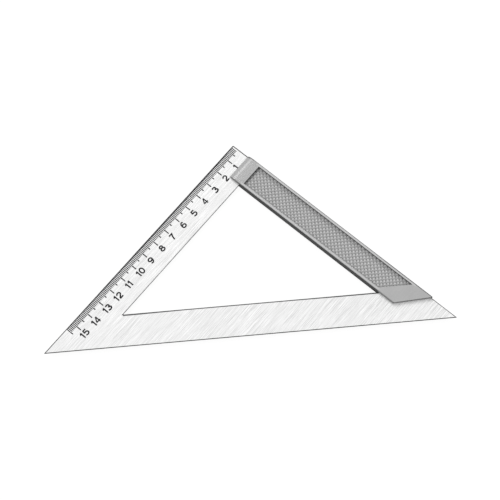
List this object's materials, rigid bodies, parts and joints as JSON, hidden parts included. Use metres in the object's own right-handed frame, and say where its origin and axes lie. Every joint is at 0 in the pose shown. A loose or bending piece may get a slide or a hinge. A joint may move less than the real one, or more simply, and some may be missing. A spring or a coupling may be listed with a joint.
{
  "type": "drafting triangle",
  "caption": "Flat right-angled set square: an open steel blade with a scale edge, one leg clamped in a thicker stock with studded grip pads.",
  "frame": {"origin": "under the middle of the blade's outline, in the plane of the stock's back face", "axes": "+X along the base edge towards the stocked tip, +Y towards the right angle, +Z out of the face with the scale"},
  "size_m": [0.2474, 0.1238, 0.006],
  "materials": {
    "blade_steel": "finely brushed along the scale edge, with inked graduations",
    "stock_alloy": "satin grey casting",
    "grip_plastic": "matt grey, moulded with studs",
    "rivet_metal": "bare, set flush"
  },
  "bodies": {
    "root": {"blade": "blade_steel", "stock_front": "stock_alloy", "stock_back": "stock_alloy", "grip_front": "grip_plastic", "grip_back": "grip_plastic", "rivets": "rivet_metal"}
  },
  "joints": []
}
